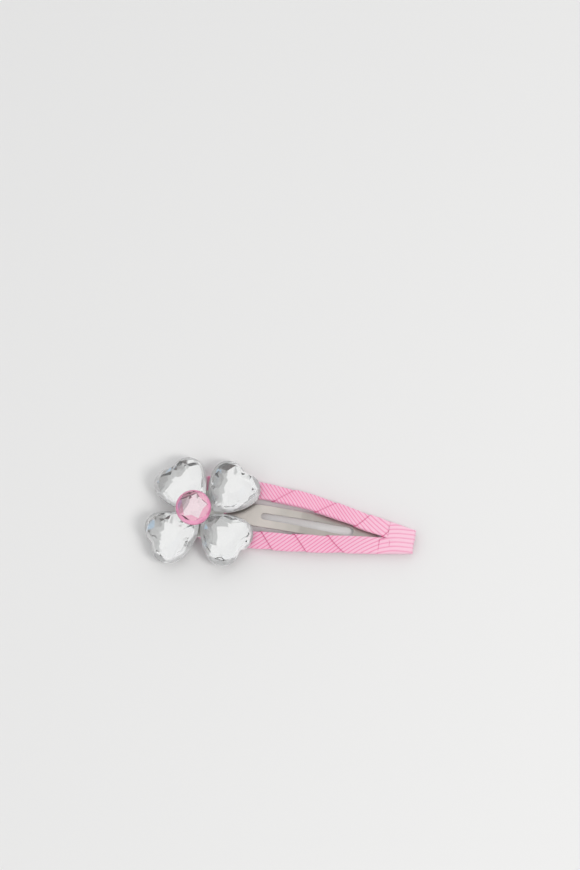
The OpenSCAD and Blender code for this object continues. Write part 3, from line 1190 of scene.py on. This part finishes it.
@dataclass
class Tongue:
    """The snapping tongue: a stamped plate with a slot, bent up to a crease and down again."""

    shape: ClipShape
    width: float = 5.06
    neck_w: float = 3.0
    neck_x: float = 11.4
    crease_x: float = 22.0
    crease_drop: float = 0.7
    slot_start_x: float = 13.0
    slot_margin: float = 5.4
    slot_w: tuple[float, float] = (1.5, 2.0)
    root_back: float = 0.12
    bevel: float = 0.07
    straight_n: int = 150
    end_n: int = 60
    neck_n: int = 40

    def rims(self, end_x: float, hinge_x: float) -> tuple[Array, Array]:
        """Outer and inner outline, point against point.

        Along the slot both run at the same X; round its two ends the points are spread
        by share of length, outside over the tongue's end or neck and inside over half circles.

        Args:
            end_x: The free end.
            hinge_x: The root.

        Returns:
            The two closed outlines, n by 2.
        """
        half = self.width / 2
        r0, r1 = self.slot_w[0] / 2, self.slot_w[1] / 2
        x0, x1 = self.slot_start_x + r0, end_x - self.slot_margin - r1
        xs = np.linspace(x0, x1, self.straight_n, endpoint=False)
        slot = r0 + (r1 - r0) * (xs - x0) / (x1 - x0)
        near_out = np.stack([xs, np.full_like(xs, -half)], -1)
        near_in = np.stack([xs, -slot], -1)
        d = np.linspace(0.0, 1.0, self.end_n, endpoint=False)
        run = end_x - half - x1
        length = d * (2 * run + np.pi * half)
        a = -np.pi / 2 + np.clip(length - run, 0.0, np.pi * half) / half
        past = length - run - np.pi * half
        ex = np.where(length < run, x1 + length, end_x - half + half * np.cos(a))
        ex = np.where(past > 0.0, end_x - half - past, ex)
        ey = half * np.sin(a)
        end_out = np.stack([ex, ey], -1)
        b = -np.pi / 2 + np.pi * d
        end_in = np.stack([x1 + r1 * np.cos(b), r1 * np.sin(b)], -1)
        q = np.linspace(0.0, np.pi / 2, self.neck_n)
        neck_x = hinge_x + (self.neck_x - hinge_x) * np.sin(q)
        neck_y = half - (half - self.neck_w / 2) * (1 - np.sin(q))
        path = np.concatenate([
            [[x0, half]], np.stack([neck_x, neck_y], -1)[::-1],
            np.stack([neck_x, -neck_y], -1), [[x0, -half]],
        ])
        far = np.concatenate([[0.0], np.cumsum(np.linalg.norm(np.diff(path, axis=0), axis=1))])
        at = d * far[-1]
        root_out = np.stack([np.interp(at, far, path[:, 0]), np.interp(at, far, path[:, 1])], -1)
        c = np.pi / 2 + np.pi * d
        root_in = np.stack([x0 + r0 * np.cos(c), r0 * np.sin(c)], -1)
        flip = np.array([1.0, -1.0])
        last = np.array([[x1, -half]]), np.array([[x1, -r1]])
        far_out = np.concatenate([last[0] * flip, near_out[::-1] * flip])[:-1]
        far_in = np.concatenate([last[1] * flip, near_in[::-1] * flip])[:-1]
        return (
            np.concatenate([near_out, end_out, far_out, root_out]),
            np.concatenate([near_in, end_in, far_in, root_in]),
        )

    def build(self, finish: bpy.types.Material) -> bpy.types.Object:
        """Makes the plate: its cross profile runs round the outlines as a closed loop.

        Args:
            finish: The steel's material.

        Returns:
            The piece.
        """
        low, high = node_box("snap_tongue")
        hinge = np.array([low[0] + self.shape.steel_t / 2, 0.0, self.shape.wrap + self.shape.steel_t / 2])
        end_x = high[0]
        out, inn = self.rims(end_x, hinge[0] - self.root_back)
        b = self.bevel
        over = np.array([0.0, 0.012, 0.05, 0.2, 0.4, 0.6, 0.8, 0.95, 0.988, 1.0])
        top = np.array([1 - b, 1 - b / 3, *[1.0] * 6, 1 - b / 3, 1 - b])
        lam = np.concatenate([over[:1], over, over[:0:-1]])
        up = np.concatenate([-top[-1:], top, -top[:-1]])
        plan = inn[:, None, :] + (out - inn)[:, None, :] * lam[None, :, None]
        x, y = plan[..., 0], plan[..., 1]
        mid = self.shape.tongue_mid(x, hinge, self.crease_x, self.crease_drop, end_x)
        z = np.maximum(mid + up[None, :] * self.shape.steel_t / 2, 0.0)
        made = Surface.lattice(np.stack([x, y, z], -1), wrap_rows=True).piece("tongue_plate")
        made.data.set_sharp_from_angle(angle=math.radians(35.0))
        return settle(made, Body.TONGUE, "snap_tongue", "spring_steel", finish)


# ---- Stones ----


@dataclass
class Stone:
    """A flat-backed moulded stone: smooth rim and shoulder, then belts of flat facets.

    The outline is smooth. The crown's belts have few corners, so the facets between them
    are flat and zigzag round the table. The back stands off its box by the film's thickness.
    """

    node: str
    corners: int
    mirror: bpy.types.Material
    clear: bpy.types.Material
    rim: bpy.types.Material
    deep: bpy.types.Material
    slot: str
    rim_share: float
    seed: int = 1
    unevenness: float = 0.132
    tooth: float = 0.15
    per_corner: int = 10
    film: float = 0.015
    sharp: float = 14.0

    # Faces' material slots
    CLEAR, MIRROR, RIM, DEEP = range(4)
    # Share of the outline and share of the rim's height, from the back up over the shoulder
    RINGS = ((1.0, 0.0), (1.0, 0.45), (0.996, 0.75), (0.98, 1.0), (0.955, 1.22))
    # Size against the outline, turn in corners and unevenness, from the lowest belt up
    BELTS = ((0.88, 0.0, 0.01), (0.68, 0.5, 0.04), (0.38, 0.0, 0.10))
    # How far up the crown the two lower belts lie
    BELT_H = (0.38, 0.76)

    def outline(self) -> tuple[Array, Array]:
        """Closed outline and its middle, to be given by each kind of stone.

        Raises:
            NotImplementedError: Always, because a plain stone has no outline.
        """
        raise NotImplementedError

    def belt(self, rim: Array, mid: Array, scale: float, offset: float, jitter: float) -> Array:
        """A polygon of a few corners inside the outline.

        Args:
            rim: The outline, n by 2.
            mid: Its middle.
            scale: Size against the outline.
            offset: Turn along the outline, in corners.
            jitter: How uneven the corners are, as a share.

        Returns:
            The corners, a row each.
        """
        n, count = len(rim), self.corners
        rng = np.random.default_rng(self.seed + count)
        at = (np.arange(count) + offset + rng.uniform(-0.25, 0.25, count)) * n / count
        closed = np.vstack([rim, rim[:1]])
        points = np.stack([np.interp(np.mod(at, n), np.arange(n + 1), closed[:, i]) for i in range(2)], -1)
        return mid + (points - mid) * (scale * (1 + jitter * rng.uniform(-1, 1, (count, 1))))

    def surface(self) -> Surface:
        """Stacks the rings: back, rim, shoulder, then three belts and the table.

        Returns:
            The surface, with its flat faces and the back's slot marked.
        """
        low, high = node_box(self.node)
        rim, mid = self.outline()
        n, k = len(rim), self.corners
        z0 = low[2] + self.film
        rim_h = (high[2] - low[2]) * self.rim_share
        crown = high[2] - z0 - rim_h

        teeth = self.tooth * np.resize([1.0, -1.0], k)
        uneven = np.random.default_rng(self.seed + 40).uniform(-1.0, 1.0, (2, k)) * self.unevenness
        a, b, c = (self.belt(rim, mid, *belt) for belt in self.BELTS)
        b = mid + (b - mid) * (1.0 + teeth[:, None])
        levels = (
            (a, rim_h + crown * self.BELT_H[0] + uneven[0]),
            (b, rim_h + crown * (self.BELT_H[1] - teeth) + uneven[1]),
            (c, np.full(k, rim_h + crown)),
        )
        rings = [(mid + (rim - mid) * wide, np.full(n, rim_h * up)) for wide, up in self.RINGS]
        points = [np.column_stack([p, z0 + h]) for p, h in (*rings, *levels)]
        grid = np.vstack([*points, [[*c.mean(0), z0 + rim_h + crown], [*mid, z0]]])

        index = np.arange(n * len(self.RINGS)).reshape(-1, n)
        ahead = np.roll(index, -1, 1)
        walls = np.stack([index[:-1], ahead[:-1], ahead[1:], index[1:]], -1).reshape(-1, 4)
        step = n // k
        ring_a = index.size + np.arange(k)
        ring_b, ring_c = ring_a + k, ring_a + 2 * k
        j = np.arange(n)
        owner = ring_a[((j + step // 2) // step) % k]
        following = ring_a[((j + 1 + step // 2) // step) % k]
        skirt = np.stack([index[-1], ahead[-1], owner, owner], -1)
        change = owner != following
        wedge = np.stack([ahead[-1][change], following[change], owner[change], owner[change]], -1)
        facets = []
        for lower, upper, shift in ((ring_a, ring_b, 0), (ring_b, ring_c, -1)):
            above = np.roll(upper, shift)
            facets.append(np.stack([lower, np.roll(lower, -1), above, above], -1))
            facets.append(np.stack([np.roll(lower, -1), np.roll(above, -1), above, above], -1))
        hub, back_hub = len(grid) - 2, len(grid) - 1
        table = np.stack([ring_c, np.roll(ring_c, -1), np.full(k, hub), np.full(k, hub)], -1)
        back = np.stack([ahead[0], index[0], np.full(n, back_hub), np.full(n, back_hub)], -1)

        quads = np.concatenate([walls, skirt, wedge, *facets, table, back])
        low_end = len(walls) + len(skirt) + len(wedge)
        flat = np.arange(len(quads)) >= len(walls)
        slots = np.full(len(quads), self.CLEAR)
        slots[:low_end] = self.RIM
        slots[low_end : low_end + 2 * k] = self.DEEP
        slots[-n:] = self.MIRROR
        return Surface(grid, quads, flat=flat, slots=slots)

    def build(self) -> bpy.types.Object:
        """Makes the stone, clear above and mirrored on its back.

        Returns:
            The piece.
        """
        made = self.surface().piece(self.node.replace("stone", "gem"))
        made.data.set_sharp_from_angle(angle=math.radians(self.sharp))
        return settle(made, Body.CLIP, self.node, self.slot, self.clear, self.mirror, self.rim, self.deep)


@dataclass
class HeartStone(Stone):
    """A heart whose point looks to the middle of the flower."""

    heading: float = 90.0
    width: float = 12.2
    length: float = 12.0
    lobe_r: float = 3.8
    notch_r: float = 1.5
    point_r: float = 0.9
    side_r: float = 11.0
    short_n: int = 30
    long_n: int = 80

    def outline(self) -> tuple[Array, Array]:
        """Four arcs that run into each other, mirrored, evenly spaced and turned to the heading.

        Returns:
            The outline, n by 2, and the stone's middle, both in the clip's frame.
        """
        lobe = np.array([self.width / 2 - self.lobe_r, self.length - self.lobe_r])
        tip = np.array([0.0, self.point_r])
        reach = float(np.linalg.norm(lobe - tip))
        to_lobe, to_tip = self.side_r - self.lobe_r, self.side_r - self.point_r
        along = (to_tip**2 - to_lobe**2 + reach**2) / (2 * reach)
        off = math.sqrt(max(0.0, to_tip**2 - along**2))
        u = (lobe - tip) / reach
        c = tip + along * u + off * np.array([-u[1], u[0]])
        lobe_a, tip_a = (math.atan2(*(p - c)[::-1]) for p in (lobe, tip))
        notch_y = lobe[1] + math.sqrt((self.lobe_r + self.notch_r) ** 2 - lobe[0] ** 2)
        meet_a = math.atan2(notch_y - lobe[1], -lobe[0])
        notch = np.array([0.0, notch_y])
        half = np.concatenate([
            arc_points(tip, self.point_r, -math.pi / 2, tip_a, self.short_n),
            arc_points(c, self.side_r, tip_a, lobe_a, self.long_n)[1:],
            arc_points(lobe, self.lobe_r, lobe_a, meet_a, self.long_n)[1:],
            arc_points(notch, self.notch_r, meet_a - math.pi, -math.pi / 2, self.short_n)[1:],
        ])
        whole = np.concatenate([half, half[::-1][1:-1] * [-1.0, 1.0]])
        closed = np.vstack([whole, whole[:1]])
        far = np.concatenate([[0.0], np.cumsum(np.linalg.norm(np.diff(closed, axis=0), axis=1))])
        at = np.linspace(0.0, far[-1], self.corners * self.per_corner, endpoint=False)
        even = np.stack([np.interp(at, far, closed[:, i]) for i in range(2)], -1)
        turn = math.radians(self.heading - 90.0)
        spin = np.array([[math.cos(turn), math.sin(turn)], [-math.sin(turn), math.cos(turn)]])
        placed = even @ spin
        low, high = node_box(self.node)
        shift = (low[:2] + high[:2]) / 2 - (placed.min(0) + placed.max(0)) / 2
        mid = np.array([0.0, self.length - self.lobe_r - self.point_r]) @ spin + shift
        return placed + shift, mid


@dataclass
class RoundStone(Stone):
    """The round stone in the middle."""

    def outline(self) -> tuple[Array, Array]:
        """A circle that fills the node's box.

        Returns:
            The outline, n by 2, and its middle.
        """
        low, high = node_box(self.node)
        mid = (low[:2] + high[:2]) / 2
        a = np.linspace(0.0, 2 * np.pi, self.corners * self.per_corner, endpoint=False)
        r = (high[0] - low[0]) / 2
        return mid + r * np.stack([np.cos(a), np.sin(a)], -1), mid


# ---- Backing ----


@dataclass
class Backing:
    """Felt disc and glue under the flower."""

    around: int = 96
    inset: float = 0.01
    edge_r: float = 0.12
    post_r: float = 0.42
    head_flare: tuple[float, float] = (0.5, 0.12)
    foot_flare: tuple[float, float] = (0.3, 0.1)

    def turned(
        self, name: str, node: str, profile: Array, wobble: float, seed: int
    ) -> bpy.types.Object:
        """A profile of radius and height carried round a node's axis, its radius slightly uneven.

        Args:
            name: The piece's name.
            node: The node whose middle, in plan, is the axis.
            profile: Radius and height, from the top pole to the bottom one.
            wobble: Share by which the radius varies.
            seed: Which unevenness.

        Returns:
            The piece.
        """
        low, high = node_box(node)
        centre = (low[:2] + high[:2]) / 2
        rng = np.random.default_rng(seed)
        a = np.linspace(0.0, 2 * np.pi, self.around, endpoint=False)[None, :]
        waves = (rng.uniform(0.2, 0.5) * np.sin(k * a + rng.uniform(0, 6.3)) for k in (2, 3, 5, 7))
        r = profile[:, :1] * (1.0 - wobble * np.abs(sum(waves)))
        z = np.broadcast_to(profile[:, 1:], r.shape)
        grid = np.stack([centre[0] + r * np.cos(a), centre[1] + r * np.sin(a), z], -1)
        last = np.arange(self.around) + (len(profile) - 1) * self.around
        made = Surface.lattice(grid)
        made = made.fanned(np.arange(self.around)[::-1], np.array([*centre, profile[0, 1]]))
        return made.fanned(last, np.array([*centre, profile[-1, 1]])).piece(name)

    def felt(self, finish: bpy.types.Material) -> bpy.types.Object:
        """The felt disc with a soft worn edge.

        Args:
            finish: Its material.

        Returns:
            The piece.
        """
        low, high = node_box("felt_backing")
        r = (high[0] - low[0]) / 2
        s = np.linspace(0.1, 1.0, 12)
        edge = np.linspace(0.0, np.pi, 12)[1:-1]
        top, bottom = high[2] - self.inset, low[2] + self.inset
        level = r - self.edge_r
        side_z = (top + bottom) / 2 + (top - bottom) / 2 * np.cos(edge)
        ring = np.concatenate([
            np.column_stack([s * level, np.full_like(s, top)]),
            np.column_stack([level + self.edge_r * np.sin(edge), side_z]),
            np.column_stack([s[::-1] * level, np.full_like(s, bottom)]),
        ])
        made = self.turned("felt_disc", "felt_backing", ring, 0.02, 3)
        settle(made, Body.CLIP, "felt_backing", "white_felt", finish)
        return made

    def post(self, finish: bpy.types.Material) -> bpy.types.Object:
        """The glue that holds the centre stone: a waisted column.

        Args:
            finish: Its material.

        Returns:
            The piece.
        """
        low, high = node_box("centre_glue")
        u = np.linspace(0.0, 1.0, 24)
        r = np.full_like(u, self.post_r)
        for far, (wide, reach) in ((u, self.head_flare), (1 - u, self.foot_flare)):
            r += wide * np.exp(-((far / reach) ** 2))
        top, bottom = high[2] - self.inset, low[2] + self.inset
        ring = np.column_stack([r, top - u * (top - bottom)])
        made = self.turned("centre_glue_post", "centre_glue", ring, 0.12, 5)
        return settle(made, Body.CLIP, "centre_glue", "clear_glue", finish)


# ---- Studio ----


@dataclass
class Studio:
    """Pale floor, soft light from the right, and the camera."""

    azimuth: float = 10.2
    elevation: float = 75.0
    distance: float = 0.7
    frame_h: float = 0.1975
    look_right: float = 0.01930
    look_up: float = 0.01646
    sensor: float = 36.0
    floor_z: float = -0.02
    floor_reach: float = 3000.0
    floor_n: int = 40
    surround: float = 1.02
    key: float = 3.6
    key_place: tuple[float, float, float] = (0.6, -0.2, 0.7)
    key_size: float = 0.35
    key_colour: Colour = (1.0, 0.985, 0.96)
    dark_way: tuple[float, float, float] = (0.85, -0.3, 0.42)
    surroundings: Stops = (
        (0.0, (1.0, 1.0, 1.0)),
        (0.385, (1.0, 1.0, 0.99)),
        (0.40, (0.62, 0.625, 0.62)),
        (0.58, (0.54, 0.54, 0.535)),
        (0.60, (0.38, 0.38, 0.375)),
        (0.76, (0.38, 0.375, 0.37)),
        (0.78, (0.44, 0.58, 0.72)),
        (0.82, (0.44, 0.58, 0.72)),
        (0.84, (0.36, 0.35, 0.345)),
    )
    figure_way: tuple[float, float, float] = (0.20, -0.54, 0.80)
    figure: Stops = (
        (0.0, (1.0, 1.0, 1.0)),
        (0.955, (1.0, 1.0, 1.0)),
        (0.960, (0.12, 0.085, 0.08)),
    )

    def camera(self) -> None:
        """Looks down on the clip, with its aim set off from the flower to frame it."""
        a, e = math.radians(self.azimuth), math.radians(self.elevation)
        right = Vector((math.cos(a), math.sin(a), 0.0))
        up = Vector((-math.sin(a) * math.sin(e), math.cos(a) * math.sin(e), math.cos(e)))
        back = Vector((math.sin(a) * math.cos(e), -math.cos(a) * math.cos(e), math.sin(e)))
        data = bpy.data.cameras.new("camera")
        data.sensor_fit = "VERTICAL"
        data.sensor_width = data.sensor_height = self.sensor
        data.lens = self.sensor * self.distance / self.frame_h
        data.clip_start, data.clip_end = 0.01, 20.0
        made = bpy.data.objects.new("camera", data)
        made.location = right * self.look_right + up * self.look_up + back * self.distance
        made.rotation_mode = "QUATERNION"
        made.rotation_quaternion = (-back).to_track_quat("-Z", "Y")
        bpy.context.scene.collection.objects.link(made)
        bpy.context.scene.camera = made

    def floor(self, finish: bpy.types.Material) -> None:
        """A wide flat board just under the clip.

        Args:
            finish: Its material.
        """
        u = np.linspace(-1.0, 1.0, self.floor_n) * self.floor_reach
        x, y = np.meshgrid(u, u, indexing="ij")
        grid = np.stack([x, y, np.full_like(x, self.floor_z)], -1)
        made = Surface.lattice(grid, wrap_cols=False).piece("floor")
        made.data.materials.append(finish)

    def lamp(self) -> None:
        """The soft square key, aimed at the clip. It throws the shadows and isn't seen in the stones."""
        data = bpy.data.lights.new("key", "AREA")
        data.shape = "RECTANGLE"
        data.size = data.size_y = self.key_size
        data.energy = self.key
        data.color = self.key_colour
        made = bpy.data.objects.new("key", data)
        made.location = self.key_place
        made.rotation_mode = "QUATERNION"
        made.rotation_quaternion = (-Vector(self.key_place)).to_track_quat("-Z", "Y")
        made.visible_glossy = made.visible_transmission = False
        bpy.context.scene.collection.objects.link(made)

    def light(self) -> None:
        """White surroundings, grey to the right and with one dark patch in front, and a soft key.

        The surroundings' colour in a direction is the product of two ramps, and each ramp is
        read at the cosine between that direction and the ramp's own.
        """
        world = bpy.data.worlds.new("studio")
        world.use_nodes = True
        tree = world.node_tree
        shade = tree.nodes["Background"]
        shade.inputs["Strength"].default_value = self.surround
        coord = tree.nodes.new("ShaderNodeTexCoord")
        parts = []
        for way, stops in ((self.dark_way, self.surroundings), (self.figure_way, self.figure)):
            dot = tree.nodes.new("ShaderNodeVectorMath")
            dot.operation = "DOT_PRODUCT"
            dot.inputs[1].default_value = Vector(way).normalized()
            ramp = tree.nodes.new("ShaderNodeValToRGB")
            set_stops(ramp, stops)
            tree.links.new(coord.outputs["Generated"], dot.inputs[0])
            tree.links.new(dot.outputs["Value"], ramp.inputs["Fac"])
            parts.append(ramp)
        both = tree.nodes.new("ShaderNodeVectorMath")
        both.operation = "MULTIPLY"
        for ramp, socket in zip(parts, both.inputs):
            tree.links.new(ramp.outputs["Color"], socket)
        tree.links.new(both.outputs["Vector"], shade.inputs["Color"])
        bpy.context.scene.world = world
        self.lamp()
        bpy.context.scene.view_settings.view_transform = "Standard"


# ---- Putting it together ----


def dress(node: str, finish: bpy.types.Material) -> None:
    """Gives a CAD node that stays in view its material.

    Args:
        node: The node.
        finish: The material.
    """
    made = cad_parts[node]
    made.data.materials.clear()
    made.data.materials.append(finish)
    log.info("dressed %s in %s", node, finish.name)


def report(made: bpy.types.Object) -> None:
    """Logs a piece's name, its number of faces and its box.

    Args:
        made: The piece.
    """
    co = np.empty(len(made.data.vertices) * 3, np.float32)
    made.data.vertices.foreach_get("co", co)
    co = co.reshape(-1, 3) / MM
    low, high = co.min(0).round(2), co.max(0).round(2)
    log.info("%s: %d faces, %s to %s mm", made.name, len(made.data.polygons), low, high)


def main() -> None:
    """Builds every sub-assembly in order."""
    logging.basicConfig(level=logging.INFO, format="%(name)s: %(message)s")
    studio = Studio()
    studio.camera()
    grosgrain = GrosgrainFinish().material()
    steel = SteelFinish().material()
    clear = StoneFinish("clear_acrylic", (0.985, 0.99, 0.99)).material()
    clear_rim = RimFinish("clear_rim", (0.97, 0.975, 0.975), 0.6).material()
    pink = StoneFinish("pink_acrylic", (1.0, 0.83, 0.885)).material()
    deep_pink = StoneFinish("deep_pink_acrylic", (0.97, 0.36, 0.53)).material()
    pink_rim = RimFinish("pink_rim", (1.0, 0.27, 0.53), 0.45).material()
    mirror = FoilFinish("stone_mirror", rough=0.008, metal=0.88).material()
    foil = FoilFinish("foil_back", (0.8, 0.8, 0.8), 0.3).material()
    felt = FeltFinish().material()
    glue = GlueFinish().material()

    shape = ClipShape()
    left = WoundRibbon(
        shape,
        Side.LEFT,
        edges_x=(-1.9, 7.9, 17.6, 27.5, 36.0, 42.3, 50.0),
        slopes=(0.103, 0.102, 0.102, 0.107, 0.16, 0.15, 0.12),
        end_x=42.7,
        fan=((-20.0, 26.0, 31.0, 36.0, 42.0, 60.0), (1.08, 1.05, 0.95, 0.62, 0.3, 0.3)),
        lap=0.5,
        last_t=4.6,
    )
    right = WoundRibbon(
        shape,
        Side.RIGHT,
        edges_x=(0.1, 7.7, 15.3, 22.9, 30.7, 46.0, 60.0),
        slopes=(0.132, 0.132, 0.132, 0.128, 0.1, 0.07, 0.07),
        end_x=41.9,
        fan=((-20.0, 30.7, 33.0, 40.0, 45.0, 60.0), (0.86, 0.88, 0.78, 0.47, 0.08, 0.0)),
        lap=0.6,
        last_t=3.95,
    )
    made = [
        left.build("left_arm_ribbon", grosgrain),
        right.build("right_arm_ribbon", grosgrain),
        TipWrap(shape, right).build(grosgrain),
        BowWrap(shape).build(grosgrain),
        Tongue(shape).build(steel),
    ]
    petal = {"mirror": mirror, "clear": clear, "rim": clear_rim, "deep": clear, "slot": "clear_acrylic"}
    middle = {"mirror": mirror, "clear": pink, "rim": pink_rim, "deep": deep_pink, "slot": "pink_acrylic"}
    headings = (133.0, 60.5, 212.0, -32.0)
    for i, heading in enumerate(headings, start=1):
        stone = HeartStone(f"petal_stone_{i}", 14, rim_share=0.26, seed=i, heading=heading, **petal)
        made.append(stone.build())
    made.append(RoundStone("centre_stone", 10, rim_share=0.3, seed=9, **middle).build())
    backing = Backing()
    made += [backing.felt(felt), backing.post(glue)]
    for piece in made:
        report(piece)
    for node, finish in (
        ("spring_frame", steel), ("tip_rivet", steel), ("petal_glue", glue), ("centre_foil", foil),
        *((f"petal_foil_{i}", foil) for i in range(1, 5)),
    ):
        dress(node, finish)
    studio.floor(FloorFinish().material())
    studio.light()


if __name__ == "__main__":
    main()
